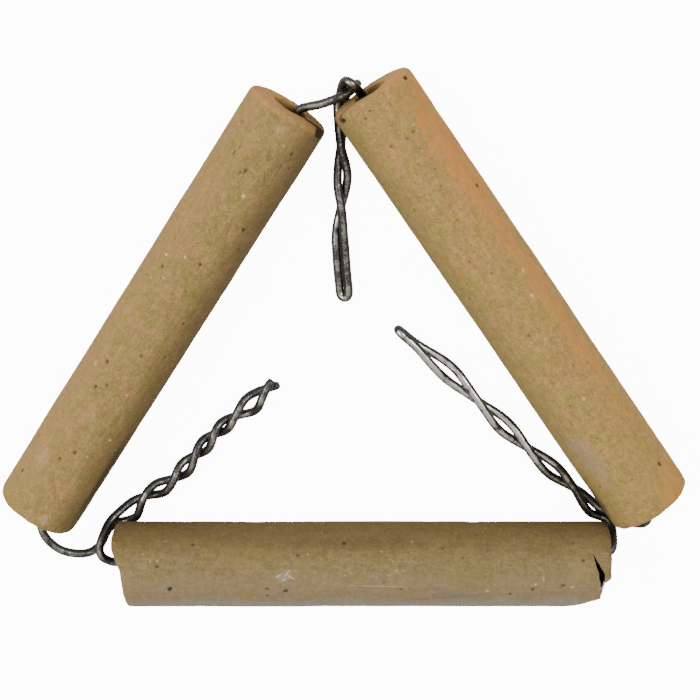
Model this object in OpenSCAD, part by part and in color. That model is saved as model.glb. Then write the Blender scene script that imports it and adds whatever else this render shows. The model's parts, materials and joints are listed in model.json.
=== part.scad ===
// Pipe clay triangle: three fireclay tubes threaded on one length of iron wire.
// The wire is folded into a twisted tail at each corner, and the tails are tucked
// inwards. Everything rests on Z = 0. The origin is the middle of the whole outline.

/* [Clay tubes] */
// Length of the left tube
left_len = 59.3; // [45:0.1:75]
// Outside diameter of the left tube
left_d = 10.3; // [8.5:0.1:12.7]
// Length of the right tube
right_len = 61.8; // [45:0.1:75]
// Outside diameter of the right tube
right_d = 10.6; // [8.8:0.1:12.8]
// Length of the bottom tube
bottom_len = 61.2; // [45:0.1:75]
// Outside diameter of the bottom tube
bottom_d = 10.6; // [8.8:0.1:12.8]
// Diameter of the bore through each tube
bore_d = 4.4; // [3.6:0.1:5.4]
// Rounding of the outer edge at the tube ends
end_round = 0.7; // [0.2:0.1:1.2]
// How far the left end of the bottom tube is cut out of square, in degrees
bottom_cut = 8; // [0:1:10]

/* [Corners] */
// Each room is the distance from a tube's end to the point where the two tube
// lines meet, less one tube diameter.
// Room beyond the low end of the left tube
left_low_room = -2.4; // [-2.4:0.1:4]
// Room beyond the top end of the left tube
left_top_room = -1.1; // [-1.1:0.1:4]
// Room beyond the top end of the right tube
right_top_room = -3.2; // [-3.2:0.1:4]
// Room beyond the low end of the right tube
right_low_room = -1.1; // [-1.1:0.1:4]
// Room beyond the left end of the bottom tube
bottom_left_room = 3.0; // [3:0.1:6]
// Room beyond the right end of the bottom tube
bottom_right_room = -0.3; // [-0.3:0.1:4]

/* [Wire] */
// Diameter of the wire
wire_d = 1.1; // [0.8:0.05:1.3]
// Gap between the wire and the wall of the bore
bore_gap = 0.2; // [0.1:0.05:0.3]
// Gap between the two strands of a tail
strand_gap = 0.1; // [0.08:0.01:0.2]
// Length of the top tail
top_tail_len = 22.3; // [16:0.1:28]
// Length of the left tail
left_tail_len = 24.7; // [20:0.1:30]
// Length of the right tail
right_tail_len = 33.3; // [26:0.1:38]
// Angle between the top tail and the right tube
top_tail_swing = 34; // [30:1:38]
// Angle between the left tail and the bottom tube
left_tail_swing = 44; // [38:1:50]
// Angle between the right tail and the bottom tube
right_tail_swing = 44.5; // [40:0.5:50]
// How far the long lobes of the left tail stand open, per millimetre of their length
left_tail_open = 0.17; // [0:0.01:0.2]
// The same for the right tail
right_tail_open = 0.03; // [0:0.01:0.1]

/* [Broken end] */
// Distance from the right end of the bottom tube to the crack
crack_back = 2.3; // [1.5:0.1:4]
// Width of the crack at its wide end
crack_width = 0.6; // [0.2:0.1:1]
// Depth of the crack
crack_depth = 2; // [0.8:0.1:2.5]
// Length of the piece broken off the rim, at the top of the tube
chip_len = 1.2; // [0.5:0.1:1.5]
// Length of the piece broken off the rim, at the outer side of the tube
chip_slant_len = 5.6; // [2:0.1:8]
// How far below the middle of the tube the broken piece reached
chip_drop = 2.4; // [0:0.1:3]

/* [Hidden] */
tube_fn = 96;
wire_sides = 12;
wire_step = 0.7;
tip_steps = 6;

left_r = left_d / 2;
right_r = right_d / 2;
bottom_r = bottom_d / 2;
bore_r = bore_d / 2;
wire_r = wire_d / 2;
widest_d = max(left_d, right_d, bottom_d);

// The three tube lines form a triangle. Its sides are the tubes with the room
// at their ends, and its corner angles follow from the sides.
bottom_side = bottom_len + 2 * widest_d + bottom_left_room + bottom_right_room;
left_side = left_len + 2 * widest_d + left_low_room + left_top_room;
right_side = right_len + 2 * widest_d + right_low_room + right_top_room;
left_angle = corner_angle(bottom_side, left_side, right_side);
right_angle = corner_angle(bottom_side, right_side, left_side);

function corner_angle(near, other, across) =
    acos((near * near + other * other - across * across) / (2 * near * other));
function heading(angle) = [cos(angle), sin(angle), 0];
function left_of(v) = [-v[1], v[0], 0];
function unit(v) = v / norm(v);
function reversed(list) = [for (i = [len(list) - 1 : -1 : 0]) list[i]];

// Outline of the three tubes, which sets where the origin is
left_run = heading(left_angle);
right_run = heading(-right_angle);
low_left_corner = [0, 0, 0];
top_corner = left_run * left_side;
left_start = low_left_corner + left_run * (widest_d + left_low_room);
right_start = top_corner + right_run * (widest_d + right_top_room);
bottom_start = low_left_corner + [widest_d + bottom_left_room, 0, 0];
right_end = right_start + right_run * right_len;
outline_low_x = left_start[0] + end_round * cos(left_angle)
    - (left_r - end_round) * sin(left_angle) - end_round;
outline_high_x = right_end[0] - end_round * cos(right_angle)
    + (right_r - end_round) * sin(right_angle) + end_round;
outline_low_y = -bottom_r;
outline_high_y = right_start[1] - end_round * sin(right_angle)
    + (right_r - end_round) * cos(right_angle) + end_round;
middle = [outline_low_x + outline_high_x, outline_low_y + outline_high_y, 0] / 2;

// A tube is [start of its line on the table, heading, length, outside radius]
tube_left_place = [left_start - middle, left_angle, left_len, left_r];
tube_right_place = [right_start - middle, -right_angle, right_len, right_r];
tube_bottom_place = [bottom_start - middle, 0, bottom_len, bottom_r];

// A mouth is [point on the table under a tube's end, way out of the bore,
// way to the inside of the triangle, outside radius of the tube]
function near_mouth(tube, inside) =
    [tube[0], -heading(tube[1]), inside * left_of(heading(tube[1])), tube[3]];
function far_mouth(tube, inside) =
    [tube[0] + heading(tube[1]) * tube[2], heading(tube[1]),
     inside * left_of(heading(tube[1])), tube[3]];
left_low_mouth = near_mouth(tube_left_place, -1);
left_top_mouth = far_mouth(tube_left_place, -1);
right_top_mouth = near_mouth(tube_right_place, -1);
right_low_mouth = far_mouth(tube_right_place, -1);
bottom_left_mouth = near_mouth(tube_bottom_place, 1);
bottom_right_mouth = far_mouth(tube_bottom_place, 1);

// A bend is [millimetres out of the mouth, share of the tube's radius towards the
// inside, share of the tube's radius above the table]
function at_mouth(m, bend) =
    m[0] + m[1] * bend[0] + m[2] * bend[1] * m[3] + [0, 0, bend[2] * m[3]];

// The wire lies against the wall of the bore, this far round from the inner side
side_lie = 40;
bottom_left_lie = 105;
bottom_right_lie = 45;
bore_reach = bore_r - wire_r - bore_gap;
function in_bore(m, lie, out) =
    m[0] + m[1] * out + m[2] * bore_reach * cos(lie)
    + [0, 0, m[3] - bore_reach * sin(lie)];

// Bends of the wire at the three corners, in the order that the wire takes them
left_under_bends = [[-2, 0.8, 0.17], [-1, 0.72, 0.12], [0.2, 0.69, 0.15], [1.1, 0.5, 0.26],
    [1.8, 0.25, 0.4], [3, 0.1, 0.51], [4.5, 0.09, 0.6]];
left_low_bends = [[3.42, 1.09, 0.72], [3.24, 0.75, 0.77], [2.5, 0.45, 0.82], [1.35, 0.25, 0.82]];
top_in_near_bends = [[0.55, 0.28, 0.83], [1.95, 0.56, 0.85]];
top_in_bends = [[1.25, 0.72, 0.86], [1, 0.43, 0.8], [1.05, 0.24, 0.7], [1.1, 0.17, 0.56],
    [0.95, 0.27, 0.4], [0.7, 0.46, 0.22], [0.15, 0.62, 0.12]];
top_out_bends = [[0.1, 0.84, 0.3], [1.05, 0.64, 0.35], [1.85, 0.49, 0.6], [2.35, 0.38, 0.87],
    [2.55, 0.3, 1.07], [2.15, 0.23, 1.16], [1.4, 0.2, 1.1], [0.65, 0.2, 0.97]];
right_low_bends = [[1, 0.21, 0.81], [2, 0.27, 0.75], [2.4, 0.44, 0.64], [1.95, 0.63, 0.51],
    [1.2, 0.81, 0.42], [0.2, 0.95, 0.34], [-0.95, 1.06, 0.3]];
right_under_bends = [[-0.8, 0.87, 0.18], [0.3, 0.79, 0.2], [0.75, 0.64, 0.36],
    [0.78, 0.47, 0.58], [0.7, 0.32, 0.73], [0.4, 0.23, 0.79]];
curl_bends = [[0.7, -0.02, 0.75], [1.45, 0.09, 0.8], [1.75, 0.3, 0.81], [1.3, 0.58, 0.7],
    [0.45, 0.87, 0.46]];

// A tail is [root, heading, length, root height, sideways bow, crossings,
// last turn, hand of the twist, openness, first turn, spread of the root]. The bow
// is a list of [share of the length, millimetres to the left], the crossings are
// shares of the length, and the last turn is [share of the length, degrees turned
// after the last crossing]. The first turn is in degrees, the spread in millimetres.
tail_height = wire_d + 0.2;
top_tail = [at_mouth(right_top_mouth, [-0.8, 0.86, 0]), -right_angle - top_tail_swing,
    top_tail_len, 0.24 * right_r,
    [[0, 0], [0.2, 0], [0.32, 0.2], [0.51, 0.05], [0.66, -0.2], [0.87, 0.1], [1, 0.4]],
    [0.2, 0.51], [0.7, 65], -1, 0, 50, 0];
left_tail = [at_mouth(bottom_left_mouth, [-2.1, 1.02, 0]), left_tail_swing,
    left_tail_len, 0.27 * bottom_r,
    [[0, 0], [0.09, 0.35], [0.27, -0.8], [0.43, -0.4], [0.58, 0], [0.71, -0.1],
     [0.81, -0.4], [0.94, -0.2], [1, -0.5]],
    [0.09, 0.27, 0.434, 0.582, 0.714, 0.939], [1.02, 90], -1, left_tail_open, 0, 0.35];
right_tail = [at_mouth(bottom_right_mouth, [-1.6, 1.06, 0]), 180 - right_tail_swing,
    right_tail_len, 0.26 * bottom_r,
    [[0, 0], [0.1, -0.3], [0.34, 0.1], [0.59, 0.1], [0.78, 0], [0.92, 0.3], [1, 0.5]],
    [0.1, 0.335, 0.592, 0.93], [1, 0], 1, right_tail_open, 0, 0];

// lookup() smoothed over a short way on both sides
function eased(x, table, way) =
    (lookup(x - way, table) + lookup(x - way / 2, table) + lookup(x, table)
     + lookup(x + way / 2, table) + lookup(x + way, table)) / 5;
function turn_table(tail) = concat([[0, tail[9]]],
    [for (i = [0 : len(tail[5]) - 1]) [tail[5][i], 90 + 180 * i]],
    [[tail[6][0], 90 + 180 * (len(tail[5]) - 1) + tail[6][1]]]);
function turned(tail, share) = tail[7] * eased(share, turn_table(tail), 1 / tail[2]);
// Half the distance between the strands: they touch, and a long lobe stands open
tight_lobe = 3.4;
function lobe_at(tail, share) =
    [for (i = [0 : len(tail[5])])
        let (from = i == 0 ? 0 : tail[5][i - 1], to = i == len(tail[5]) ? 1.02 : tail[5][i])
        if (share >= from && share < to && i > 0) [from, to]];
function strand_reach(tail, share) =
    let (lobe = lobe_at(tail, share), touching = (wire_d + strand_gap) / 2)
    len(lobe) == 0 ? touching + tail[10] * max(0, 1 - share / tail[5][0])
    : touching + tail[8] * max(0, (lobe[0][1] - lobe[0][0]) * tail[2] - tight_lobe)
        * pow(sin(180 * (share - lobe[0][0]) / (lobe[0][1] - lobe[0][0])), 2);
function in_tail(tail, v) =
    tail[0] + heading(tail[1]) * v[0] + left_of(heading(tail[1])) * v[1] + [0, 0, v[2]];
function tail_middle(tail, share) =
    [share * tail[2], eased(share, tail[4], 1 / tail[2]),
     eased(share, [[0, tail[3]], [tail[5][0], tail_height]], 1 / tail[2])];
function across(tail, share, phase) =
    let (a = turned(tail, share) + phase) [0, cos(a), sin(a)] * strand_reach(tail, share);
// One strand of a tail, from its root to its tip
function strand(tail, phase) =
    let (steps = ceil(tail[2] / wire_step))
    [for (i = [0 : steps]) in_tail(tail, tail_middle(tail, i / steps) + across(tail, i / steps, phase))];
// The hairpin at the end of a tail, starting from the strand with this phase
function hairpin(tail, phase) =
    [for (i = [1 : tip_steps - 1])
        let (a = 180 * i / tip_steps)
        in_tail(tail, tail_middle(tail, 1) + across(tail, 1, phase) * cos(a)
            + [strand_reach(tail, 1) * sin(a), 0, 0])];

// Smooth curve through a list of points, without the two points at each end
function curve(p) =
    [for (i = [1 : len(p) - 3])
        let (steps = ceil(norm(p[i + 1] - p[i]) / wire_step))
        for (j = [0 : steps - 1])
            if (i > 1 || j > 0)
                let (t = j / steps)
                (2 * p[i] + (p[i + 1] - p[i - 1]) * t
                 + (2 * p[i - 1] - 5 * p[i] + 4 * p[i + 1] - p[i + 2]) * t * t
                 + (3 * p[i] - p[i - 1] - 3 * p[i + 1] + p[i + 2]) * t * t * t) / 2];
// The wire never lies lower than just above the table
table_gap = 0.05;
function off_table(v) = [v[0], v[1], max(v[2], wire_r + table_gap)];
function placed(m, bends) = [for (bend = bends) off_table(at_mouth(m, bend))];
function last_two(list) = [list[len(list) - 2], list[len(list) - 1]];
function first_two(list) = [list[0], list[1]];
function into_bore(m, lie) = [in_bore(m, lie, 0), in_bore(m, lie, -1.5)];
function out_of_bore(m, lie) = reversed(into_bore(m, lie));

// The two strands of each tail, in the order and the sense that the wire takes them
left_tail_in = reversed(strand(left_tail, 180));
top_tail_out = strand(top_tail, 0);
top_tail_in = reversed(strand(top_tail, 180));
right_tail_out = strand(right_tail, 180);
right_tail_in = reversed(strand(right_tail, 0));
left_tail_out = strand(left_tail, 0);
wire_path = concat(
    left_tail_in,
    curve(concat(last_two(left_tail_in), placed(bottom_left_mouth, left_under_bends),
        placed(left_low_mouth, left_low_bends), into_bore(left_low_mouth, side_lie))),
    [in_bore(left_low_mouth, side_lie, 0), in_bore(left_top_mouth, side_lie, 0)],
    curve(concat(out_of_bore(left_top_mouth, side_lie), placed(left_top_mouth, top_in_near_bends),
        placed(right_top_mouth, top_in_bends), first_two(top_tail_out))),
    top_tail_out, hairpin(top_tail, 0), top_tail_in,
    curve(concat(last_two(top_tail_in), placed(right_top_mouth, top_out_bends),
        into_bore(right_top_mouth, side_lie))),
    [in_bore(right_top_mouth, side_lie, 0), in_bore(right_low_mouth, side_lie, 0)],
    curve(concat(out_of_bore(right_low_mouth, side_lie), placed(right_low_mouth, right_low_bends),
        first_two(right_tail_out))),
    right_tail_out, hairpin(right_tail, 180), right_tail_in,
    curve(concat(last_two(right_tail_in), placed(bottom_right_mouth, right_under_bends),
        into_bore(bottom_right_mouth, bottom_right_lie))),
    [in_bore(bottom_right_mouth, bottom_right_lie, 0), in_bore(bottom_left_mouth, bottom_left_lie, 0)],
    curve(concat(out_of_bore(bottom_left_mouth, bottom_left_lie),
        placed(bottom_left_mouth, curl_bends), first_two(left_tail_out))),
    left_tail_out);

// Solid of a round wire along a list of points, with flat cut ends
function travel(p) =
    [for (i = [0 : len(p) - 1]) unit(p[min(i + 1, len(p) - 1)] - p[max(i - 1, 0)])];
function carried_side(t) =
    [for (i = 0, n = unit(cross(t[0], [0, 0, 1])); i < len(t);
          i = i + 1, n = i < len(t) ? unit(n - t[i] * (n * t[i])) : n) n];
module swept_wire(p, r) {
    t = travel(p);
    n = carried_side(t);
    rings = [for (i = [0 : len(p) - 1])
        let (b = cross(t[i], n[i]))
        for (k = [0 : wire_sides - 1])
            let (a = 360 * k / wire_sides) p[i] + r * (cos(a) * n[i] + sin(a) * b)];
    last = len(p) - 1;
    walls = [for (i = [0 : last - 1])
        for (k = [0 : wire_sides - 1])
            let (here = i * wire_sides, next = here + wire_sides, k2 = (k + 1) % wire_sides)
            for (face = [[here + k, next + k, here + k2], [here + k2, next + k, next + k2]]) face];
    polyhedron(rings, concat(walls, [[for (k = [0 : wire_sides - 1]) k]],
        [[for (k = [wire_sides - 1 : -1 : 0]) last * wire_sides + k]]), convexity = 10);
}

// A tube lying along +X with its bore centre on the X axis
module clay_tube(length, r) {
    quarter = [for (i = [0 : 5]) 90 * i / 5];
    flat_r = r - end_round;
    rotate([0, 90, 0])
        rotate_extrude($fn = tube_fn)
            polygon(concat(
                [[bore_r, 0]],
                [for (a = quarter) [flat_r + end_round * sin(a), end_round - end_round * cos(a)]],
                [for (a = quarter) [flat_r + end_round * cos(a), length - end_round + end_round * sin(a)]],
                [[bore_r, length]]));
}
module on_place(tube) {
    translate(tube[0] + [0, 0, tube[3]])
        rotate([0, 0, tube[1]])
            children();
}

// Crack that runs part of the way round the tube near its right end. It widens
// towards the top, where it meets the broken corner of the rim.
past = 1;
module end_crack() {
    translate([bottom_len - crack_back, bottom_r * 0.57, bottom_r - crack_depth])
        linear_extrude(crack_depth + past)
            polygon([[0, 0], [crack_back * 0.33, -bottom_r * 0.57 - 0.3],
                [crack_back * 0.33 + crack_width, -bottom_r * 0.57]]);
}
// Broken corner of the rim: set back squarely at the top, and slanted off outside
module rim_chip() {
    translate([bottom_len, 0, -chip_drop])
        linear_extrude(chip_drop + bottom_r + past)
            polygon([[-chip_len, 0], [-chip_len, -bottom_r / 2], [-chip_slant_len, -bottom_r],
                [-chip_slant_len, -bottom_r - past], [past, -bottom_r - past], [past, 0]]);
}
// What is cut away where the left end is out of square
module slanted_cut() {
    rotate([0, 0, bottom_cut])
        translate([-bottom_d, -bottom_d, -bottom_d])
            cube([bottom_d, bottom_d * 2, bottom_d * 2]);
}

module tube_left() {
    color([0.66, 0.55, 0.4])
        on_place(tube_left_place)
            clay_tube(left_len, left_r);
}
module tube_right() {
    color([0.68, 0.57, 0.38])
        on_place(tube_right_place)
            clay_tube(right_len, right_r);
}
module tube_bottom() {
    color([0.6, 0.5, 0.35])
        on_place(tube_bottom_place)
            difference() {
                clay_tube(bottom_len, bottom_r);
                end_crack();
                rim_chip();
                slanted_cut();
            }
}
module wire() {
    color([0.3, 0.3, 0.3])
        swept_wire(wire_path, wire_r);
}

tube_left();
tube_right();
tube_bottom();
wire();
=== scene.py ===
import json
import math

import bpy
import numpy as np
from mathutils import Matrix, Vector, noise


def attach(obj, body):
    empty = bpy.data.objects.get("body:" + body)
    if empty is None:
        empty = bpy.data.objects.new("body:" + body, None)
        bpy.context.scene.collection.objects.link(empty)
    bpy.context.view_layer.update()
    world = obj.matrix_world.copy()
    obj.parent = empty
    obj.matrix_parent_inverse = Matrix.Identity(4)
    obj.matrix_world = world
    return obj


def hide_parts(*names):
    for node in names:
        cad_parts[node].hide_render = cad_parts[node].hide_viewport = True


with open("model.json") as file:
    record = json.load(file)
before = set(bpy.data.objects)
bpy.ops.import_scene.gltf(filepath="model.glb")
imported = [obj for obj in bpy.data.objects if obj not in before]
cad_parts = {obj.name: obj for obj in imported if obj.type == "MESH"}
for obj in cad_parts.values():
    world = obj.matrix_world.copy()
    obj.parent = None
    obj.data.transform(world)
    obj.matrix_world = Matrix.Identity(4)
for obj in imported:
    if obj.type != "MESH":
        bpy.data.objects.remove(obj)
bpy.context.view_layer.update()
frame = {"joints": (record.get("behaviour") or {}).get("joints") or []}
mm = 0.001

# ---------------------------------------------------------------- camera
# The part lies flat and is seen from above and a little from behind its top corner.
tilt = math.radians(-17)
aim = Vector((0.81, -2.22, 0)) * mm
reach = 270 * mm
camera_data = bpy.data.cameras.new("camera")
camera_data.sensor_width = 36
camera_data.lens = 113.4
camera_data.clip_start = 0.01
camera = bpy.data.objects.new("camera", camera_data)
camera.rotation_euler = (tilt, 0, 0)
camera.location = aim + reach * Vector((0, -math.sin(tilt), math.cos(tilt)))
bpy.context.scene.collection.objects.link(camera)
bpy.context.scene.camera = camera


# ---------------------------------------------------------------- fired clay
# The tubes are extruded pipe clay, cut to length and fired without glaze. The
# surface is matt and grainy, with pits, drag lines and pale grits, and years in a
# flame have stained it.
def put(tree, kind, inputs=None, **settings):
    """A node with its settings made and its inputs set or linked."""
    node = tree.nodes.new(kind)
    for key, value in settings.items():
        setattr(node, key, value)
    for key, value in (inputs or {}).items():
        socket = node.inputs[key]
        if isinstance(value, bpy.types.NodeSocket):
            tree.links.new(value, socket)
        else:
            socket.default_value = value
    return node


def new_group(name, inputs, outputs):
    """An empty shader node group, with the outputs of its input node and its output node."""
    group = bpy.data.node_groups.new(name, "ShaderNodeTree")
    kinds = {"colour": "NodeSocketColor", "vector": "NodeSocketVector", "value": "NodeSocketFloat"}
    for way, sockets in (("INPUT", inputs), ("OUTPUT", outputs)):
        for label, kind, *default in sockets:
            socket = group.interface.new_socket(name=label, in_out=way, socket_type=kinds[kind])
            if default:
                socket.default_value = default[0]
    return group, put(group, "NodeGroupInput").outputs, put(group, "NodeGroupOutput")


def math_node(tree, operation, *values):
    return put(tree, "ShaderNodeMath", dict(enumerate(values)), operation=operation).outputs[0]


def between(tree, value, low, high, to_low=0.0, to_high=1.0):
    """value mapped smoothly from low..high to to_low..to_high."""
    return put(tree, "ShaderNodeMapRange", {"Value": value, "From Min": low, "From Max": high,
               "To Min": to_low, "To Max": to_high}, interpolation_type="SMOOTHSTEP").outputs[0]


def blend_colour(tree, share, first, second, kind="MIX"):
    node = put(tree, "ShaderNodeMix", {0: share, 6: first, 7: second}, data_type="RGBA",
               blend_type=kind)
    return node.outputs[2]


def noise_at(tree, place, scale, detail=4.0, rough=0.6, start=(0, 0, 0), output=0):
    """Noise of a scale in repeats per millimetre. start moves it away from the others."""
    moved = put(tree, "ShaderNodeVectorMath", {0: place, 1: start}, operation="ADD").outputs[0]
    return put(tree, "ShaderNodeTexNoise", {"Vector": moved, "Scale": scale, "Detail": detail,
               "Roughness": rough}).outputs[output]


def in_millimetres(tree, place):
    scaled = put(tree, "ShaderNodeVectorMath", {0: place, "Scale": 1000.0}, operation="SCALE")
    return scaled.outputs[0]


def spots(tree, place, scale, size, kept):
    """A mask of separate round spots, with the given share of the cells holding one."""
    cells = put(tree, "ShaderNodeTexVoronoi", {"Vector": place, "Scale": scale})
    chance = put(tree, "ShaderNodeSeparateXYZ", {0: cells.outputs["Color"]})
    wide = math_node(tree, "MULTIPLY", between(tree, chance.outputs[1], 0.0, 1.0, 0.4, 1.0), size)
    near = math_node(tree, "DIVIDE", cells.outputs["Distance"], wide)
    there = math_node(tree, "LESS_THAN", chance.outputs[0], kept)
    return math_node(tree, "MULTIPLY", between(tree, near, 1.0, 0.55), there)


# Fired clay: blotches of three tones, grain, drag lines, pits and pale grits, with painted shade darkening
# the pits.
clay_body, given, result = new_group(
    "clay_body",
    [("Place", "vector"), ("Middle", "colour"), ("Pink", "colour"), ("Olive", "colour"),
     ("Pits", "value", 0.75), ("Grits", "value", 0.5)],
    [("Colour", "colour"), ("Roughness", "value"), ("Height", "value")])
tree = clay_body
in_mm = in_millimetres(tree, given["Place"])
drawn_out = put(tree, "ShaderNodeVectorMath", {0: in_mm, 1: (0.15, 1.0, 1.0)},
                operation="MULTIPLY").outputs[0]
pink_blotches = noise_at(tree, in_mm, 0.45, 6.0, 0.7)
olive_blotches = noise_at(tree, in_mm, 0.36, 6.0, 0.7, (40, 15, 70))
mottle = noise_at(tree, in_mm, 1.3, 4.0, 0.65, (9, 90, 30))
flecks = noise_at(tree, in_mm, 2.4, 3.0, 0.7, (60, 20, 5))
grain = noise_at(tree, in_mm, 4.2, 3.0, 0.6)
drag = noise_at(tree, drawn_out, 2.2, 3.0)
olive_share = between(tree, olive_blotches, 0.44, 0.63, 0.0, 0.95)
pink_share = between(tree, pink_blotches, 0.46, 0.62, 0.0, 0.85)
fleck_share = between(tree, flecks, 0.55, 0.72, 0.0, 0.6)
colour = blend_colour(tree, olive_share, given["Middle"], given["Olive"])
colour = blend_colour(tree, pink_share, colour, given["Pink"])
colour = blend_colour(tree, fleck_share, colour, given["Pink"])
shade = math_node(tree, "MULTIPLY", between(tree, grain, 0.3, 0.7, 0.8, 1.18),
                  between(tree, mottle, 0.3, 0.7, 0.85, 1.14))
shade = math_node(tree, "MULTIPLY", shade, between(tree, drag, 0.3, 0.7, 0.93, 1.07))
colour = put(tree, "ShaderNodeVectorMath", {0: colour, "Scale": shade}, operation="SCALE").outputs[0]
shake = noise_at(tree, in_mm, 3.5, 2.0, 0.6, output="Color")
shaken = put(tree, "ShaderNodeVectorMath", {0: shake, 1: (0.5, 0.5, 0.5), 2: in_mm},
             operation="MULTIPLY_ADD").outputs[0]
pits = spots(tree, shaken, 0.7, 0.2, math_node(tree, "MULTIPLY", given["Pits"], 0.5))
pinholes = spots(tree, shaken, 1.6, 0.2, math_node(tree, "MULTIPLY", given["Pits"], 0.6))
grits = spots(tree, shaken, 1.1, 0.22, math_node(tree, "MULTIPLY", given["Grits"], 0.35))
holes = math_node(tree, "MAXIMUM", pits, math_node(tree, "MULTIPLY", pinholes, 0.7))
colour = blend_colour(tree, math_node(tree, "MULTIPLY", grits, 0.55), colour, (0.8, 0.52, 0.25, 1))
# Painted shade: the pits and pinholes are darkened towards near black.
colour = blend_colour(tree, math_node(tree, "MULTIPLY", holes, 0.7), colour, (0.1, 0.07, 0.035, 1))
tree.links.new(colour, result.inputs["Colour"])
tree.links.new(between(tree, mottle, 0.3, 0.7, 0.95, 0.82), result.inputs["Roughness"])
bumps = math_node(tree, "MULTIPLY_ADD", grain, 0.35, math_node(tree, "MULTIPLY", drag, 0.3))
bumps = math_node(tree, "MULTIPLY_ADD", mottle, 0.4, bumps)
bumps = math_node(tree, "SUBTRACT", bumps, math_node(tree, "MULTIPLY", holes, 0.6))
tree.links.new(bumps, result.inputs["Height"])

# A mark of its own size at one place on a tube. Along is millimetres from the middle
# of the tube, and Around is millimetres round it from the top. Slant turns the mark.
mark_mask, given, result = new_group(
    "mark_mask",
    [("Place", "vector"), ("Radius", "value", 5.3), ("Along", "value"), ("Around", "value"),
     ("Half Length", "value", 5.0), ("Half Width", "value", 5.0), ("Slant", "value", 0.0),
     ("Ragged", "value", 0.5), ("Scale", "value", 0.9), ("Soft", "value", 0.4)],
    [("Mask", "value")])
tree = mark_mask
in_mm = in_millimetres(tree, given["Place"])
xyz = put(tree, "ShaderNodeSeparateXYZ", {0: in_mm}).outputs
turn = math_node(tree, "MULTIPLY", math_node(tree, "ARCTAN2", xyz[1], xyz[2]), given["Radius"])
ahead = math_node(tree, "SUBTRACT", xyz[0], given["Along"])
aside = math_node(tree, "SUBTRACT", turn, given["Around"])
aside = math_node(tree, "SUBTRACT", aside, math_node(tree, "MULTIPLY", ahead, given["Slant"]))
ahead = math_node(tree, "DIVIDE", ahead, given["Half Length"])
aside = math_node(tree, "DIVIDE", aside, given["Half Width"])
off = math_node(tree, "SQRT", math_node(tree, "ADD", math_node(tree, "MULTIPLY", ahead, ahead),
                                        math_node(tree, "MULTIPLY", aside, aside)))
ragged = noise_at(tree, in_mm, given["Scale"], 5.0, 0.68)
ragged = math_node(tree, "SUBTRACT", ragged, 0.5)
off = math_node(tree, "MULTIPLY_ADD", ragged, given["Ragged"], off)
full = math_node(tree, "SUBTRACT", 1.0, given["Soft"])
tree.links.new(between(tree, off, 1.0, full), result.inputs["Mask"])

# How far a point lies towards one side of its tube: a share of the radius, with a
# wandering edge between From and To.
side_mask, given, result = new_group(
    "side_mask",
    [("Place", "vector"), ("From", "value"), ("To", "value"), ("Wander", "value", 0.2)],
    [("Mask", "value")])
tree = side_mask
in_mm = in_millimetres(tree, given["Place"])
xyz = put(tree, "ShaderNodeSeparateXYZ", {0: in_mm}).outputs
from_axis = math_node(tree, "SQRT", math_node(
    tree, "ADD", math_node(tree, "MULTIPLY", xyz[1], xyz[1]),
    math_node(tree, "MULTIPLY", xyz[2], xyz[2])))
share = math_node(tree, "DIVIDE", xyz[1], from_axis)
wander = noise_at(tree, in_mm, 0.22, 5.0, 0.62)
wander = math_node(tree, "SUBTRACT", wander, 0.5)
share = math_node(tree, "MULTIPLY_ADD", wander, given["Wander"], share)
tree.links.new(between(tree, share, given["From"], given["To"]), result.inputs["Mask"])

# Painted shade: the near-black colour put into the hollows pressed into the mesh.
pit_shade = (0.045, 0.03, 0.015)


def joint_named(name):
    return next(joint for joint in frame["joints"] if joint["name"] == name)


def heading_of(joint):
    return math.atan2(joint["axis"][1], joint["axis"][0])


def tinted(tree, colour, middle, tone):
    """The colour turned towards a tone, half of it keeping its own grain."""
    ratio = tuple(t / m for t, m in zip(tone, middle))
    grained = put(tree, "ShaderNodeVectorMath", {0: colour, 1: ratio}, operation="MULTIPLY").outputs[0]
    return blend_colour(tree, 0.5, grained, (*tone, 1))


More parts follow.
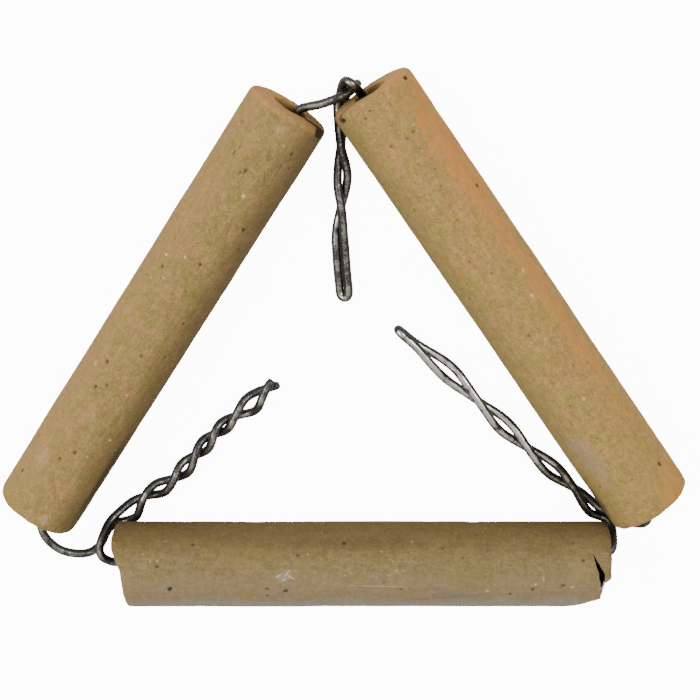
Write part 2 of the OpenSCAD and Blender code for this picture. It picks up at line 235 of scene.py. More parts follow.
def clay_material(name, joint, length, radius, tones, sides, marks, hollows):
    """Fired clay in three tones, with its lighter and darker sides, its own marks and its pits
    over them, placed along the tube of a joint. A lighter side is painted light and a darker
    side is painted shade with smoke stain; the pits carry painted shade. A side is (from, to,
    wander, strength, colour). A mark is (millimetres from the near end, degrees from the top,
    half length, half width, slant, ragged, scale, soft, strength, colour)."""
    material = bpy.data.materials.new(name)
    material.use_nodes = True
    tree = material.node_tree
    shader = tree.nodes["Principled BSDF"]
    place = put(tree, "ShaderNodeMapping", {
        "Vector": put(tree, "ShaderNodeTexCoord").outputs["Object"],
        "Location": joint["pos_m"],
        "Rotation": (0, 0, heading_of(joint))}, vector_type="TEXTURE").outputs[0]
    body = put(tree, "ShaderNodeGroup", node_tree=clay_body)
    tree.links.new(place, body.inputs["Place"])
    for label, value in zip(("Middle", "Pink", "Olive"), tones):
        body.inputs[label].default_value = (*value, 1)
    colour = body.outputs["Colour"]
    # A side tone, painted light on a lighter side and painted shade with smoke stain on a darker one, keeps
    # the grain of the clay under it: the tone is brought in as a multiple.
    for start, end, wander, strength, tone in sides:
        mask = put(tree, "ShaderNodeGroup", node_tree=side_mask)
        for label, value in (("From", start), ("To", end), ("Wander", wander)):
            mask.inputs[label].default_value = value
        tree.links.new(place, mask.inputs["Place"])
        amount = math_node(tree, "MULTIPLY", mask.outputs[0], strength)
        colour = blend_colour(tree, amount, colour, tinted(tree, colour, tones[0], tone))
    # Each hollow in the mesh also gets a mark of painted shade.
    pits = [(at, angle, long, wide, 0, 1.8, 3.5, 0.6, min(0.95, 2.4 * wide), pit_shade)
            for at, angle, long, wide, deep in hollows]
    labels = ("Along", "Around", "Half Length", "Half Width", "Slant", "Ragged", "Scale", "Soft")
    for at, angle, *shape, strength, tone in marks + pits:
        mask = put(tree, "ShaderNodeGroup", node_tree=mark_mask)
        mask.inputs["Radius"].default_value = radius
        for label, value in zip(labels, [at - length / 2, math.radians(angle) * radius, *shape]):
            mask.inputs[label].default_value = value
        tree.links.new(place, mask.inputs["Place"])
        amount = math_node(tree, "MULTIPLY", mask.outputs[0], strength)
        over = (*tone, 1) if tone == pit_shade else tinted(tree, colour, tones[0], tone)
        colour = blend_colour(tree, amount, colour, over)
    # Painted shade: the inside of the bore is made near black.
    inside = put(tree, "ShaderNodeAttribute", attribute_name="bore").outputs["Fac"]
    colour = blend_colour(tree, inside, colour, (0.03, 0.022, 0.014, 1))
    tree.links.new(colour, shader.inputs["Base Color"])
    tree.links.new(body.outputs["Roughness"], shader.inputs["Roughness"])
    shader.inputs["Specular IOR Level"].default_value = 0.2
    bump = put(tree, "ShaderNodeBump", {"Height": body.outputs["Height"], "Strength": 0.5,
                                        "Distance": 0.15 * mm})
    tree.links.new(bump.outputs[0], shader.inputs["Normal"])
    return material


def rough(point, scale, octaves=3):
    """Smooth noise around 0, at a point in millimetres."""
    return noise.fractal(Vector(point) * scale, 1.0, 2.0, octaves)


def clay_sleeve(name, length, radius, bore, seed, hollows, near_end=None):
    """A tube along X with its middle at the origin, in millimetres. hollows is a list of
    (millimetres along from the near end, degrees round from the top, half length, half
    width, depth). near_end gives how far the near end stands back at a distance to one
    side of the axis."""
    around = 192
    rim = 0.7
    ring_gap = 0.18
    worn_edge = 1.4
    set_back_reach = 6.0
    arc = [i * math.pi / 2 / 5 for i in range(6)]
    profile = [(0.0, r, 0.0) for r in np.linspace(bore, radius - rim, 10)]
    profile += [(rim - rim * math.cos(a), radius - rim + rim * math.sin(a), 0.0) for a in arc[1:]]
    profile += [(x, radius, 0.0) for x in np.linspace(rim, length - rim, int(length / ring_gap))[1:-1]]
    profile += [(length - rim + rim * math.sin(a), radius - rim + rim * math.cos(a), 0.0)
                for a in arc]
    profile += [(length, r, 0.0) for r in np.linspace(radius - rim, bore, 10)[1:]]
    profile += [(x, bore, 1.0) for x in np.linspace(length, 0, 50)[1:-1]]
    shift = Vector((seed * 17.3, seed * 5.1, seed * 9.7))
    points = []
    in_bore = []
    for x, r, inside in profile:
        for k in range(around):
            turn = 2 * math.pi * k / around
            y, z = math.sin(turn), math.cos(turn)
            spot = Vector((x, r * y, r * z)) + shift
            lift = r
            if not inside:
                out_of_round = 0.05 + 0.05 * rough(spot, 0.09, 2)
                dents = max(0.0, 0.06 * rough(spot, 0.35, 3))
                drag = 0.012 * rough((spot.x * 0.1, spot.y, spot.z), 1.4, 2)
                lift -= max(0.0, out_of_round + dents + drag)
                edge = min(x, length - x)
                if edge < worn_edge:
                    lift -= max(0.0, 0.2 * rough(spot, 0.8, 3) + 0.06) * (1 - edge / worn_edge)
                degrees = math.degrees(turn if turn < math.pi else turn - 2 * math.pi)
                for at, angle, half_length, half_width, deep in hollows:
                    u = (x - at) / half_length
                    if abs(u) < 1.3:
                        v = math.radians(degrees - angle) * radius / half_width
                        d = math.sqrt(u * u + v * v) * (1 + 0.3 * rough(spot, 2.5, 2))
                        lift -= deep * max(0.0, 1 - d * d) ** 1.5
            back = 0.0
            if near_end:
                back = near_end(r * y) * max(0.0, 1 - x / set_back_reach)
            if r < radius - 0.01 and not inside:
                bow = 0.06 + 0.06 * rough(spot, 0.6, 3)
                back += max(0.0, bow) * (1 if x < length / 2 else -1)
            points.append((x + back - length / 2, lift * y, lift * z))
            in_bore.append(inside)
    rows = len(profile)
    faces = []
    for i in range(rows):
        j = (i + 1) % rows
        for k in range(around):
            m = (k + 1) % around
            faces.append((i * around + k, j * around + k, j * around + m, i * around + m))
    mesh = bpy.data.meshes.new(name)
    mesh.from_pydata([Vector(p) * mm for p in points], [], faces)
    mesh.attributes.new("bore", "FLOAT", "POINT").data.foreach_set("value", in_bore)
    mesh.shade_smooth()
    sleeve = bpy.data.objects.new(name, mesh)
    bpy.context.scene.collection.objects.link(sleeve)
    return sleeve


def seat_of(joint):
    """The place of a joint, with X along its line."""
    return Matrix.Translation(joint["pos_m"]) @ Matrix.Rotation(heading_of(joint), 4, "Z")


def thread_on(sleeve, joint):
    """Lays a sleeve's mesh along the line of its joint, and lets it turn there."""
    sleeve.data.transform(seat_of(joint))
    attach(sleeve, joint["child"])


bore_radius = 2.2

# ---------------------------------------------------------------- left tube
# Fired clay tube on the left: lighter pinkish tan outside, which is painted light, and darker
# brown along its inner side, which is smoke stain and painted shade, with a scar of pale
# crystals near its top end and an orange line at that rim.
left_length, left_radius = 59.3, 5.15
left_pits = [
    (4.8, 56, 0.4, 0.3, 0.15), (11, 2, 0.32, 0.28, 0.25), (9.3, 15, 0.3, 0.25, 0.15),
    (19.3, 26, 0.3, 0.3, 0.2), (20.2, 14, 0.25, 0.25, 0.15), (22.6, 32, 0.38, 0.3, 0.3),
    (36, 37, 0.45, 0.25, 0.2), (38.8, -6, 0.3, 0.32, 0.2), (31.4, -32, 0.3, 0.25, 0.2),
    (44.8, -33, 0.35, 0.3, 0.2), (51, 9, 0.55, 0.25, 0.2), (50.6, 14, 0.4, 0.2, 0.15),
    (55.4, -33, 0.4, 0.22, 0.2), (26.6, -36, 0.25, 0.2, 0.15), (52, 36, 0.45, 0.2, 0.15),
    (53, 33, 0.3, 0.2, 0.15), (58.7, -58, 0.6, 0.8, 0.3)]
left_marks = [
    (59.1, 20, 0.7, 60, 0, 0.8, 1.5, 0.7, 0.6, (0.56, 0.29, 0.085)),
    (58.9, -64, 1.0, 1.3, 0, 1.6, 1.5, 0.5, 1.0, pit_shade),
    (9, -62, 11, 1.3, 0, 0.9, 0.6, 0.9, 0.8, (0.07, 0.05, 0.024)),
    (8.2, 38, 1.9, 0.8, 0, 2.4, 2.2, 0.7, 0.5, (0.5, 0.34, 0.19)),
    (16, 8, 0.9, 0.7, 0, 2.4, 2.2, 0.7, 0.4, (0.45, 0.31, 0.19)),
    (1.6, -12, 1.1, 0.9, 0, 2.4, 2.2, 0.7, 0.5, (0.52, 0.34, 0.19)),
    (21.5, 46, 0.45, 0.35, 0, 1.6, 2.5, 0.6, 0.6, (0.6, 0.42, 0.25)),
    (37.4, 41, 0.24, 0.22, 0, 0.8, 3.0, 0.5, 0.9, (0.8, 0.68, 0.52)),
    (38.6, 16, 0.26, 0.2, 0, 0.8, 3.0, 0.5, 0.8, (0.7, 0.52, 0.34)),
    (14.3, -31, 0.3, 0.25, 0, 0.8, 3.0, 0.5, 0.8, (0.85, 0.55, 0.3)),
    (48.4, -6, 0.35, 0.3, 0, 0.8, 3.0, 0.5, 0.7, (0.85, 0.55, 0.3)),
    (57.0, -2, 1.3, 0.8, 0.1, 2.6, 2.6, 0.8, 0.5, (0.43, 0.31, 0.135)),
    (57.0, 1, 0.35, 0.13, 0.6, 2.0, 5.0, 0.6, 0.7, (0.52, 0.37, 0.17)),
    (57.9, -4, 0.3, 0.13, -0.8, 2.0, 5.0, 0.6, 0.7, (0.52, 0.37, 0.17)),
    (56.4, -5, 0.25, 0.13, 0, 2.0, 5.0, 0.6, 0.6, (0.52, 0.37, 0.17)),
    (51.5, -17, 1.5, 0.14, 0.55, 0.9, 2.0, 0.7, 0.7, (0.17, 0.11, 0.05)),
    (54.3, -4, 1.7, 0.13, 0.32, 0.9, 2.0, 0.7, 0.7, (0.17, 0.11, 0.05)),
    (54.6, -9, 1.5, 0.12, 0.3, 0.9, 2.0, 0.7, 0.4, (0.45, 0.32, 0.18)),
    (32, 38, 2.4, 0.13, -1.2, 0.9, 2.0, 0.7, 0.6, (0.2, 0.13, 0.06)),
    (53, -28, 3.0, 0.16, 0.05, 1.0, 1.5, 0.7, 0.5, (0.15, 0.1, 0.045))]
left_sleeve = clay_sleeve("clay_left", left_length, left_radius, bore_radius, 1, left_pits)
left_joint = joint_named("left_turn")
thread_on(left_sleeve, left_joint)
left_sleeve.data.materials.append(clay_material(
    "left_clay", left_joint, left_length, left_radius,
    ((0.34, 0.225, 0.077), (0.42, 0.237, 0.096), (0.3, 0.226, 0.06)),
    # Sides: the lighter outer side is painted light, the darker inner side is smoke stain and painted
    # shade.
    [(0.05, 0.9, 0.3, 0.75, (0.415, 0.252, 0.088)), (-0.05, -0.95, 0.35, 0.9, (0.175, 0.123, 0.051))],
    left_marks, left_pits))
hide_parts("tube_left")

# ---------------------------------------------------------------- right tube
# Fired clay tube on the right: khaki, with an iron-orange stain from its top end
# down its outer side, and a greyish bloom near its low end. Its outer side is lighter,
# as painted light, and its inner side darker, as painted shade with some smoke stain, and
# a painted shadow of the wire lies on its inner side at the low end.
right_length, right_radius = 61.8, 5.3
right_pits = [
    (0.7, 60, 0.35, 0.6, 0.2), (15.8, 58, 0.35, 0.3, 0.2), (56.6, 48, 0.5, 0.3, 0.2),
    (6, 22, 0.28, 0.22, 0.15), (6.3, 11, 0.28, 0.22, 0.2), (6, -12, 0.28, 0.25, 0.2),
    (22.4, -12, 0.28, 0.22, 0.2), (0.8, -55, 0.35, 0.7, 0.3), (9.5, 4, 0.22, 0.2, 0.12),
    (13, 12, 0.22, 0.18, 0.12), (8, 17, 0.2, 0.18, 0.12), (17.5, 6, 0.25, 0.2, 0.12),
    (25, 3, 0.22, 0.2, 0.12), (1.7, -20, 0.25, 0.25, 0.15), (40, 24, 0.25, 0.2, 0.12),
    (49, -5, 0.22, 0.2, 0.1)]
right_marks = [
    (-0.2, 0, 0.5, 60, 0, 0.8, 1.5, 0.7, 0.5, (0.56, 0.31, 0.1)),
    (9, 68, 15, 3.3, 0, 3.0, 0.7, 0.35, 0.8, (0.58, 0.275, 0.074)),
    (13, 42, 10, 1.5, 0, 4.2, 1.1, 0.4, 0.7, (0.58, 0.275, 0.074)),
    (33, 50, 15, 1.7, 0, 4.2, 1.0, 0.4, 0.75, (0.58, 0.275, 0.074)),
    (61, 54, 5, 4.0, 0, 2.0, 0.8, 0.5, 0.7, (0.54, 0.27, 0.06)),
    (51, -32, 5.5, 2.2, 0.1, 2.0, 0.6, 0.7, 0.65, (0.4, 0.275, 0.165)),
    # Painted shadow: the wire's shadow, near black, on the inner side at the low end.
    (57, -78, 6, 2.4, 0, 1.0, 0.6, 0.8, 0.85, (0.05, 0.038, 0.02)),
    (0.5, -58, 0.8, 0.6, 0, 1.0, 2.0, 0.5, 0.7, (0.08, 0.05, 0.025)),
    (30, 30, 0.4, 0.3, 0, 1.0, 3.0, 0.5, 0.7, (0.85, 0.55, 0.3)),
    (27, 40, 0.35, 0.25, 0, 1.0, 3.0, 0.5, 0.6, (0.8, 0.52, 0.26)),
    (44, 10, 0.3, 0.3, 0, 1.0, 3.0, 0.5, 0.5, (0.8, 0.52, 0.26))]
right_sleeve = clay_sleeve("clay_right", right_length, right_radius, bore_radius, 2, right_pits)
right_joint = joint_named("right_turn")
thread_on(right_sleeve, right_joint)
right_sleeve.data.materials.append(clay_material(
    "right_clay", right_joint, right_length, right_radius,
    ((0.425, 0.268, 0.082), (0.475, 0.262, 0.098), (0.375, 0.272, 0.07)),
    # Sides: the lighter outer side is painted light, the darker inner side is painted shade with some smoke
    # stain.
    [(0.1, 0.9, 0.3, 0.6, (0.49, 0.285, 0.085)), (-0.3, -0.95, 0.3, 0.8, (0.31, 0.226, 0.074))],
    right_marks, right_pits))
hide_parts("tube_right")

# ---------------------------------------------------------------- bottom tube
# Fired clay tube at the bottom: darker brown on its inner side, which is smoke stain and
# painted shade, and lighter and greyer outside, partly painted light. Its left end is sawn
# out of square, and its right end has cracked and lost a piece.
bottom_length, bottom_radius = 61.2, 5.3
bottom_pits = [
    (7.4, -14, 0.42, 0.42, 0.3), (19.2, -14, 0.32, 0.28, 0.3), (19.3, -25, 0.28, 0.22, 0.3),
    (21.5, -17, 0.45, 0.35, 0.2), (23, 34, 0.3, 0.28, 0.2), (28.6, 51, 0.35, 0.3, 0.2),
    (5.9, 19, 0.32, 0.26, 0.15), (10.2, 49, 0.32, 0.26, 0.15), (55.2, -8, 0.4, 0.25, 0.12),
    (51.5, -14, 0.3, 0.3, 0.12), (48.8, -22, 0.35, 0.25, 0.12), (57.6, 27, 0.3, 0.3, 0.12),
    (43, 30, 0.25, 0.2, 0.12), (35.5, -14, 0.25, 0.2, 0.12)]
bottom_marks = [
    (7.4, -14, 1.0, 1.0, 0, 1.0, 2.0, 0.9, 0.6, (0.2, 0.18, 0.13)),
    (21, -22, 2.6, 1.2, 0, 1.5, 1.2, 0.9, 0.45, (0.22, 0.18, 0.12)),
    (42, -22, 4.5, 1.3, -0.12, 1.8, 0.8, 0.8, 0.55, (0.2, 0.175, 0.12)),
    (21.4, 5, 1.3, 0.8, 0.2, 2.6, 2.6, 0.8, 0.4, (0.42, 0.37, 0.26)),
    (16, 30, 7, 2.0, 0.05, 2.4, 0.7, 0.7, 0.5, (0.25, 0.185, 0.06)),
    (44, 12, 6, 2.2, -0.1, 2.6, 0.7, 0.7, 0.55, (0.245, 0.19, 0.065)),
    (57, 16, 1.4, 3.0, 0.3, 2.0, 0.9, 0.7, 0.6, (0.3, 0.235, 0.085)),
    (49, 2, 3.0, 1.6, 0.1, 2.4, 0.9, 0.7, 0.4, (0.31, 0.21, 0.115)),
    (30, 48, 14, 1.2, 0.0, 2.4, 0.6, 0.7, 0.45, (0.15, 0.1, 0.04)),
    (20.6, 6, 0.45, 0.15, 0.9, 2.2, 4.0, 0.6, 0.85, (0.6, 0.52, 0.38)),
    (21.6, 9, 0.4, 0.15, 1.4, 2.2, 4.0, 0.6, 0.85, (0.6, 0.52, 0.38)),
    (22.2, 4, 0.5, 0.14, -0.5, 2.2, 4.0, 0.6, 0.8, (0.6, 0.52, 0.38)),
    (21.3, 1, 0.4, 0.14, 0.4, 2.2, 4.0, 0.6, 0.7, (0.6, 0.52, 0.38)),
    # Crease lines: the dark lines are painted shade in the creases, with a paler line beside the first one.
    (33, -9, 6.0, 0.13, -0.02, 1.2, 1.0, 0.7, 0.6, (0.5, 0.36, 0.2)),
    (33, -11, 6.0, 0.1, -0.02, 1.2, 1.0, 0.7, 0.5, (0.15, 0.11, 0.06)),
    (41, -29, 6.5, 0.14, 0.1, 1.2, 1.0, 0.7, 0.6, (0.17, 0.14, 0.09)),
    (52.8, 2, 0.12, 0.4, 0, 0.8, 3.0, 0.5, 0.7, (0.55, 0.4, 0.23)),
    (51.8, -6, 0.25, 0.22, 0, 0.8, 3.0, 0.5, 0.8, (0.68, 0.46, 0.26)),
    (56.3, -10, 0.28, 0.18, 0, 0.8, 3.0, 0.5, 0.8, (0.65, 0.45, 0.26)),
    (46, -16, 0.28, 0.18, 0, 0.8, 3.0, 0.5, 0.7, (0.62, 0.44, 0.26))]


def sawn_end(aside):
    """How far the sawn end stands back, in millimetres to one side of the axis."""
    return np.interp(aside, [-5.3, -0.65, 1.0, 2.2, 3.4, 4.4, 5.3],
                     [1.65, 1.4, 1.2, 0.6, 0.05, 0.1, 0.4])


def broken_block(name, outline, low, high, lean):
    """A block with a rough broken skin: a closed outline in plan, between two heights,
    leaning out along the tube as it goes down."""
    point_gap = 0.3
    level_gap = 0.35
    roughness = 0.14
    ring = []
    for (x0, y0), (x1, y1) in zip(outline, outline[1:] + outline[:1]):
        steps = max(1, round(math.hypot(x1 - x0, y1 - y0) / point_gap))
        ring += [(x0 + (x1 - x0) * i / steps, y0 + (y1 - y0) * i / steps) for i in range(steps)]
    levels = np.linspace(low, high, max(2, round((high - low) / level_gap)))
    points = []
    for z in levels:
        for x, y in ring:
            spot = Vector((x + lean * (high - z), y, z))
            points.append(spot + roughness * Vector((rough(spot, 1.4), rough(spot.yzx, 1.4), 0)))
    count = len(ring)
    last = (len(levels) - 1) * count
    faces = [(row + k, row + (k + 1) % count, row + count + (k + 1) % count, row + count + k)
             for row in range(0, last, count) for k in range(count)]
    faces += [tuple(range(count))[::-1], tuple(range(last, last + count))]
    mesh = bpy.data.meshes.new(name)
    mesh.from_pydata([p * mm for p in points], [], faces)
    block = bpy.data.objects.new(name, mesh)
    bpy.context.scene.collection.objects.link(block)
    return block


def break_off(piece, joint, block, break_material):
    """Takes a block away from a piece. The new faces get the material of a fresh break."""
    block.data.materials.append(break_material)
    block.data.transform(seat_of(joint))
    cut = piece.modifiers.new("cut", "BOOLEAN")
    cut.object = block
    cut.operation = "DIFFERENCE"
    cut.solver = "MANIFOLD"
    cut.material_mode = "TRANSFER"
    bpy.context.view_layer.update()
    whole = piece.data
    name = whole.name
    seen = piece.evaluated_get(bpy.context.evaluated_depsgraph_get())
    broken = bpy.data.meshes.new_from_object(seen)
    piece.modifiers.clear()
    piece.data = broken
    bpy.data.meshes.remove(whole)
    broken.name = name
    for face in broken.polygons:
        face.use_smooth = broken.materials[face.material_index] != break_material
    bpy.data.objects.remove(block)


bottom_sleeve = clay_sleeve("clay_bottom", bottom_length, bottom_radius, bore_radius, 3,
                            bottom_pits, sawn_end)
bottom_joint = joint_named("bottom_turn")
thread_on(bottom_sleeve, bottom_joint)
bottom_tones = ((0.27, 0.194, 0.08), (0.29, 0.197, 0.097), (0.245, 0.184, 0.062))
bottom_clay = clay_material(
    "bottom_clay", bottom_joint, bottom_length, bottom_radius, bottom_tones,
    # Sides: the lighter, greyer outer side is partly painted light, the darker inner side is smoke stain
    # and painted shade.
    [(0.3, -0.1, 0.8, 0.8, (0.3, 0.212, 0.108)), (0.35, 1.0, 0.45, 0.95, (0.185, 0.124, 0.045)),
     (-0.45, -0.75, 0.6, 0.9, (0.31, 0.275, 0.185))],
    bottom_marks, bottom_pits)
bottom_sleeve.data.materials.append(bottom_clay)
fresh_break = clay_material("broken_clay", bottom_joint, bottom_length, bottom_radius,
                            ((0.46, 0.4, 0.29), (0.5, 0.42, 0.3), (0.4, 0.36, 0.25)), [], [], [])
# Painted shade: the walls of the narrow crack are made near black.
crack_shade_clay = clay_material("crack_painted_shade", bottom_joint, bottom_length, bottom_radius,
                            ((0.03, 0.024, 0.016), (0.035, 0.026, 0.016), (0.025, 0.02, 0.013)), [], [], [])
crack_outline = [
    (28.2, 3.1), (28.6, 1.8), (28.9, 0.65), (29.1, -0.3), (29.15, -0.9), (29.5, -0.9),
    (29.55, -0.2), (29.6, 0.55), (29.35, 1.15), (28.9, 2.0)]
chip_outline = [
    (28.9, -0.5), (28.8, -2.0), (28.6, -2.85), (23.4, -5.1), (22.8, -7), (34, -7), (34, 1.0),
    (30.4, 1.0), (29.9, 0.0), (29.4, -0.4)]
above_tube = 7
crack_block = broken_block("crack", crack_outline, 3.0, above_tube, 0)
break_off(bottom_sleeve, bottom_joint, crack_block, crack_shade_clay)
chip_block = broken_block("chip", chip_outline, -3.6, above_tube, 0.23)
break_off(bottom_sleeve, bottom_joint, chip_block, fresh_break)
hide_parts("tube_bottom")

# ---------------------------------------------------------------- wire
# One length of soft iron wire, about 1.1 mm thick and dark with oxide. It runs
# through the three tubes and is folded and twisted into a tail at each corner.
wire_d = 1.1
wire_r = wire_d / 2
strand_gap = 0.1
bore_gap = 0.2
tail_height = wire_d + 0.2
closed_length = 3.4
sample = 0.22


def heading(degrees):
    return np.array([math.cos(math.radians(degrees)), math.sin(math.radians(degrees)), 0.0])


def left_of(v):
    return np.array([-v[1], v[0], 0.0])


class Mouth:
    """One end of a bore: where it opens, its way out, and its way to the inside."""

    lead = 1.5

    def __init__(self, joint, length, radius, far, inner_side):
        along = np.array(joint["axis"])
        self.out = along if far else -along
        self.side = inner_side * left_of(along)
        middle = np.array(joint["pos_m"]) / mm
        self.start = np.array([middle[0], middle[1], 0.0]) + self.out * length / 2
        self.radius = radius

    def at(self, bend):
        out, side, height = bend
        return (self.start + self.out * out + self.side * side * self.radius
                + np.array([0, 0, height * self.radius]))

    def in_bore(self, lie, out):
        reach = bore_radius - wire_r - bore_gap
        return (self.start + self.out * out + self.side * reach * math.cos(math.radians(lie))
                + np.array([0, 0, self.radius - reach * math.sin(math.radians(lie))]))

    def way_in(self, lie):
        return [self.in_bore(lie, 0), self.in_bore(lie, -self.lead)]


left_low = Mouth(left_joint, left_length, left_radius, False, -1)
left_top = Mouth(left_joint, left_length, left_radius, True, -1)
right_top = Mouth(right_joint, right_length, right_radius, False, -1)
right_low = Mouth(right_joint, right_length, right_radius, True, -1)
bottom_left = Mouth(bottom_joint, bottom_length, bottom_radius, False, 1)
bottom_right = Mouth(bottom_joint, bottom_length, bottom_radius, True, 1)


class Tail:
    """Two strands of the wire twisted round each other, from a root to a tip."""

    def __init__(self, root, angle, length, height, bow, crossings, last_turn, hand,
                 openness, first_turn, spread):
        self.root, self.length, self.hand = root, length, hand
        self.ahead, self.aside = heading(angle), left_of(heading(angle))
        self.bow, self.crossings = bow, crossings
        self.rise = [(0, height), (crossings[0], tail_height)]
        self.turns = ([(0, first_turn)] + [(c, 90 + 180 * i) for i, c in enumerate(crossings)]
                      + [(last_turn[0], 90 + 180 * (len(crossings) - 1) + last_turn[1])])
        self.openness, self.spread = openness, spread

    def eased(self, share, table):
        way = 1 / self.length
        return np.mean([np.interp(share + way * k / 2, *zip(*table)) for k in range(-2, 3)])

    def half_gap(self, share):
        gap = (wire_d + strand_gap) / 2
        if share < self.crossings[0]:
            return gap + self.spread * (1 - share / self.crossings[0])
        ends = list(self.crossings) + [1.02]
        for start, end in zip(ends, ends[1:]):
            if start <= share < end:
                long = max(0.0, (end - start) * self.length - closed_length)
                swell = math.sin(math.pi * (share - start) / (end - start)) ** 2
                return gap + self.openness * long * swell
        return gap

    def middle(self, share):
        return np.array([share * self.length, self.eased(share, self.bow),
                         self.eased(share, self.rise)])

    def across(self, share, phase):
        a = math.radians(self.hand * self.eased(share, self.turns) + phase)
        return np.array([0, math.cos(a), math.sin(a)]) * self.half_gap(share)

    def place(self, v):
        return self.root + self.ahead * v[0] + self.aside * v[1] + np.array([0, 0, v[2]])

    def strand(self, phase):
        steps = math.ceil(self.length / sample)
        return [self.place(self.middle(i / steps) + self.across(i / steps, phase))
                for i in range(steps + 1)]

    def hairpin(self, phase):
        steps = 10
        return [self.place(self.middle(1) + self.across(1, phase) * math.cos(math.pi * i / steps)
                           + np.array([self.half_gap(1) * math.sin(math.pi * i / steps), 0, 0]))
                for i in range(1, steps)]


right_heading = -55.915
top_tail = Tail(
    right_top.at((-0.8, 0.86, 0)), right_heading - 34, 22.3, 0.24 * right_radius,
    [(0, 0), (0.2, 0), (0.32, 0.2), (0.51, 0.05), (0.66, -0.2), (0.87, 0.1), (1, 0.4)],
    [0.2, 0.51], (0.7, 65), -1, 0, 50, 0)
left_tail = Tail(
    bottom_left.at((-2.1, 1.02, 0)), 44, 24.7, 0.27 * bottom_radius,
    [(0, 0), (0.09, 0.35), (0.27, -0.8), (0.43, -0.4), (0.58, 0), (0.71, -0.1), (0.81, -0.4),
     (0.94, -0.2), (1, -0.5)],
    [0.09, 0.27, 0.434, 0.582, 0.714, 0.939], (1.02, 90), -1, 0.17, 0, 0.35)
right_tail = Tail(
    bottom_right.at((-1.6, 1.06, 0)), 180 - 44.5, 33.3, 0.26 * bottom_radius,
    [(0, 0), (0.1, -0.3), (0.34, 0.1), (0.59, 0.1), (0.78, 0), (0.92, 0.3), (1, 0.5)],
    [0.1, 0.335, 0.592, 0.93], (1, 0), 1, 0.03, 0, 0)


def curve(points):
    """Smooth curve through the points, without the two at each end."""
    line = []
    for i in range(1, len(points) - 2):
        a, b, c, d = points[i - 1:i + 3]
        steps = max(1, math.ceil(np.linalg.norm(c - b) / sample))
        for j in range(0 if i > 1 else 1, steps):
            t = j / steps
            line.append((2 * b + (c - a) * t + (2 * a - 5 * b + 4 * c - d) * t * t
                         + (3 * b - a - 3 * c + d) * t ** 3) / 2)
    return line


def bends(mouth, *places):
    return [mouth.at(place) for place in places]


def bore_run(one, other, lie):
    """Straight run through a bore, from one mouth to the other."""
    a, b = one.in_bore(lie[0], 0), other.in_bore(lie[1], 0)
    steps = math.ceil(np.linalg.norm(b - a) / 0.6)
    return [a + (b - a) * i / steps for i in range(steps + 1)]


side_lie = 40
right_end_lie = 45
left_end_lie = 105
left_in = left_tail.strand(180)[::-1]
top_out = top_tail.strand(0)
top_in = top_tail.strand(180)[::-1]
right_out = right_tail.strand(180)
right_in = right_tail.strand(0)[::-1]
left_out = left_tail.strand(0)
route = list(left_in)
route += curve(
    left_in[-2:]
    + bends(bottom_left, (-2, 0.8, 0.17), (-1, 0.72, 0.12), (0.2, 0.69, 0.15), (1.1, 0.5, 0.26),
            (1.8, 0.25, 0.4), (3, 0.1, 0.51), (4.5, 0.09, 0.6))
    + bends(left_low, (3.42, 1.09, 0.72), (3.24, 0.75, 0.77), (2.5, 0.45, 0.82), (1.35, 0.25, 0.82))
    + left_low.way_in(side_lie))
route += bore_run(left_low, left_top, (side_lie, side_lie))
route += curve(
    left_top.way_in(side_lie)[::-1]
    + bends(left_top, (0.55, 0.28, 0.83), (1.95, 0.56, 0.85))
    + bends(right_top, (1.25, 0.72, 0.86), (1, 0.43, 0.8), (1.05, 0.24, 0.7), (1.1, 0.17, 0.56),
            (0.95, 0.27, 0.4), (0.7, 0.46, 0.22), (0.15, 0.62, 0.12))
    + top_out[:2])
route += top_out + top_tail.hairpin(0) + top_in
route += curve(
    top_in[-2:]
    + bends(right_top, (0.1, 0.84, 0.3), (1.05, 0.64, 0.35), (1.85, 0.49, 0.6), (2.35, 0.38, 0.87),
            (2.55, 0.3, 1.07), (2.15, 0.23, 1.16), (1.4, 0.2, 1.1), (0.65, 0.2, 0.97))
    + right_top.way_in(side_lie))
route += bore_run(right_top, right_low, (side_lie, side_lie))
route += curve(
    right_low.way_in(side_lie)[::-1]
    + bends(right_low, (1, 0.21, 0.81), (2, 0.27, 0.75), (2.4, 0.44, 0.64), (1.95, 0.63, 0.51),
            (1.2, 0.81, 0.42), (0.2, 0.95, 0.34), (-0.95, 1.06, 0.3))
    + right_out[:2])
route += right_out + right_tail.hairpin(180) + right_in
route += curve(
    right_in[-2:]
    + bends(bottom_right, (-0.8, 0.87, 0.18), (0.3, 0.79, 0.2), (0.75, 0.64, 0.36),
            (0.78, 0.47, 0.58), (0.7, 0.32, 0.73), (0.4, 0.23, 0.79))
    + bottom_right.way_in(right_end_lie))
route += bore_run(bottom_right, bottom_left, (right_end_lie, left_end_lie))
route += curve(
    bottom_left.way_in(left_end_lie)[::-1]
    + bends(bottom_left, (0.7, -0.02, 0.75), (1.45, 0.09, 0.8), (1.75, 0.3, 0.81),
            (1.3, 0.58, 0.7), (0.45, 0.87, 0.46))
    + left_out[:2])
route += left_out


def even_steps(line, step):
    line = np.array(line)
    far = np.concatenate([[0], np.cumsum(np.linalg.norm(np.diff(line, axis=0), axis=1))])
    at = np.linspace(0, far[-1], int(far[-1] / step))
    return np.stack([np.interp(at, far, line[:, k]) for k in range(3)], axis=1)


def relaxed(line, passes):
    """Takes the kinks out of a line, as a springy wire would."""
    for _ in range(passes):
        line[1:-1] = (line[:-2] + 2 * line[1:-1] + line[2:]) / 4
    return line


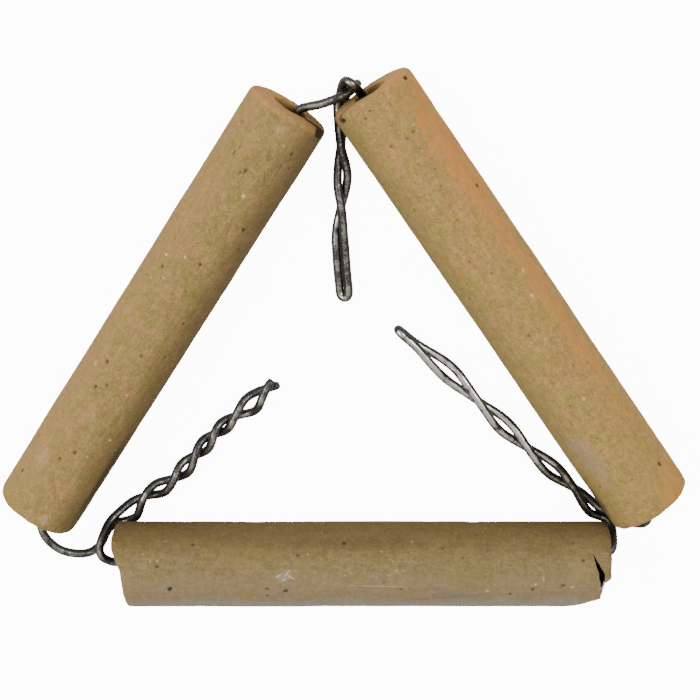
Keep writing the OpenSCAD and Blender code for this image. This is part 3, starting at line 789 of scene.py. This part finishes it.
centre_line = relaxed(even_steps(route, sample), 4)
sides = 20
ahead = np.gradient(centre_line, axis=0)
ahead /= np.linalg.norm(ahead, axis=1)[:, None]
normal = np.cross(ahead[0], [0, 0, 1.0])
points = []
for i, (spot, way) in enumerate(zip(centre_line, ahead)):
    normal = normal - way * normal.dot(way)
    normal /= np.linalg.norm(normal)
    other = np.cross(way, normal)
    from_end = min(i, len(centre_line) - 1 - i) * sample
    snipped = min(1.0, 0.75 + from_end * 0.8)
    for k in range(sides):
        turn = 2 * math.pi * k / sides
        out = normal * math.cos(turn) + other * math.sin(turn)
        skin = 1 - 0.02 + 0.02 * rough(spot + out, 0.7, 2)
        points.append((spot + out * wire_r * skin * snipped) * mm)
last = (len(centre_line) - 1) * sides
faces = [(row + k, row + sides + k, row + sides + (k + 1) % sides, row + (k + 1) % sides)
         for row in range(0, last, sides) for k in range(sides)]
faces += [tuple(range(sides)), tuple(range(last, last + sides))[::-1]]
wire_mesh = bpy.data.meshes.new("bent_wire")
wire_mesh.from_pydata([Vector(p) for p in points], [], faces)
wire_mesh.shade_smooth()
bent_wire = bpy.data.objects.new("bent_wire", wire_mesh)
bpy.context.scene.collection.objects.link(bent_wire)

iron = bpy.data.materials.new("oxidised_iron")
iron.use_nodes = True
tree = iron.node_tree
shader = tree.nodes["Principled BSDF"]
coordinates = put(tree, "ShaderNodeTexCoord").outputs
in_mm = in_millimetres(tree, coordinates["Object"])
scale_skin = noise_at(tree, in_mm, 0.7, 5.0, 0.65)
fine = noise_at(tree, in_mm, 5.0, 4.0, 0.65)
# Painted highlight: the metal is made bright where its surface faces upward, in patches broken up by noise,
# so the top of each strand looks lit. The rest keeps its dark oxide.
upward = put(tree, "ShaderNodeSeparateXYZ", {0: coordinates["Normal"]}).outputs[2]
highlight_share = math_node(tree, "MULTIPLY_ADD", math_node(tree, "SUBTRACT", scale_skin, 0.5), 1.5, upward)
highlight_share = math_node(tree, "MULTIPLY_ADD", math_node(tree, "SUBTRACT", fine, 0.5), 0.3, highlight_share)
# Painted highlight: along the right tail, between about 2 and 28 mm to the right of the middle, the
# highlight is made wider and near white.
to_the_right = put(tree, "ShaderNodeSeparateXYZ", {0: in_mm}).outputs[0]
right_tail_highlight = math_node(tree, "MULTIPLY", between(tree, to_the_right, 2.0, 10.0),
                            between(tree, to_the_right, 28.0, 23.0))
highlight_share = math_node(tree, "MULTIPLY_ADD", right_tail_highlight, 0.16, highlight_share)
painted_highlight = between(tree, highlight_share, 0.84, 1.2)
highlight_colour = blend_colour(tree, right_tail_highlight, (0.56, 0.5, 0.4, 1), (0.85, 0.82, 0.76, 1))
dark_oxide = blend_colour(tree, between(tree, fine, 0.4, 0.7),
                          (0.06, 0.062, 0.06, 1), (0.16, 0.158, 0.148, 1))
colour = blend_colour(tree, painted_highlight, dark_oxide, highlight_colour)
tree.links.new(colour, shader.inputs["Base Color"])
shader.inputs["Metallic"].default_value = 1.0
tree.links.new(between(tree, painted_highlight, 0.0, 1.0, 0.42, 0.28), shader.inputs["Roughness"])
bump = put(tree, "ShaderNodeBump", {"Height": fine, "Strength": 0.25, "Distance": 0.06 * mm})
tree.links.new(bump.outputs[0], shader.inputs["Normal"])
wire_mesh.materials.append(iron)
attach(bent_wire, "frame")
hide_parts("wire")

# ---------------------------------------------------------------- stand and light
# A plain pale floor, a soft light above on the left, a smaller one above on the right,
# and pale surroundings.
floor_mesh = bpy.data.meshes.new("floor")
floor_mesh.from_pydata([(-1.5, -1.5, 0), (1.5, -1.5, 0), (1.5, 1.5, 0), (-1.5, 1.5, 0)],
                       [], [(0, 1, 2, 3)])
floor = bpy.data.objects.new("floor", floor_mesh)
bpy.context.scene.collection.objects.link(floor)
pale = bpy.data.materials.new("pale_floor")
pale.use_nodes = True
pale_shader = pale.node_tree.nodes["Principled BSDF"]
pale_shader.inputs["Base Color"].default_value = (0.9, 0.9, 0.9, 1)
pale_shader.inputs["Roughness"].default_value = 0.9
pale_shader.inputs["Emission Color"].default_value = (1, 1, 1, 1)
seen = put(pale.node_tree, "ShaderNodeLightPath").outputs["Is Camera Ray"]
glow = math_node(pale.node_tree, "MULTIPLY", seen, 12.0)
pale.node_tree.links.new(glow, pale_shader.inputs["Emission Strength"])
floor_mesh.materials.append(pale)

world = bpy.data.worlds.new("surroundings")
world.use_nodes = True
world.node_tree.nodes["Background"].inputs["Color"].default_value = (1, 1, 1, 1)
world.node_tree.nodes["Background"].inputs["Strength"].default_value = 0.6
bpy.context.scene.world = world


def soft_light(name, place, size, power):
    data = bpy.data.lights.new(name, "AREA")
    data.shape = "DISK"
    data.size = size
    data.energy = power
    lamp = bpy.data.objects.new(name, data)
    lamp.location = place
    lamp.rotation_euler = (-Vector(place)).to_track_quat("-Z", "Y").to_euler()
    bpy.context.scene.collection.objects.link(lamp)


soft_light("left_box", (-0.35, 0.1, 0.4), 0.3, 1.75)
soft_light("right_box", (0.3, 0.15, 0.45), 0.2, 1.0)
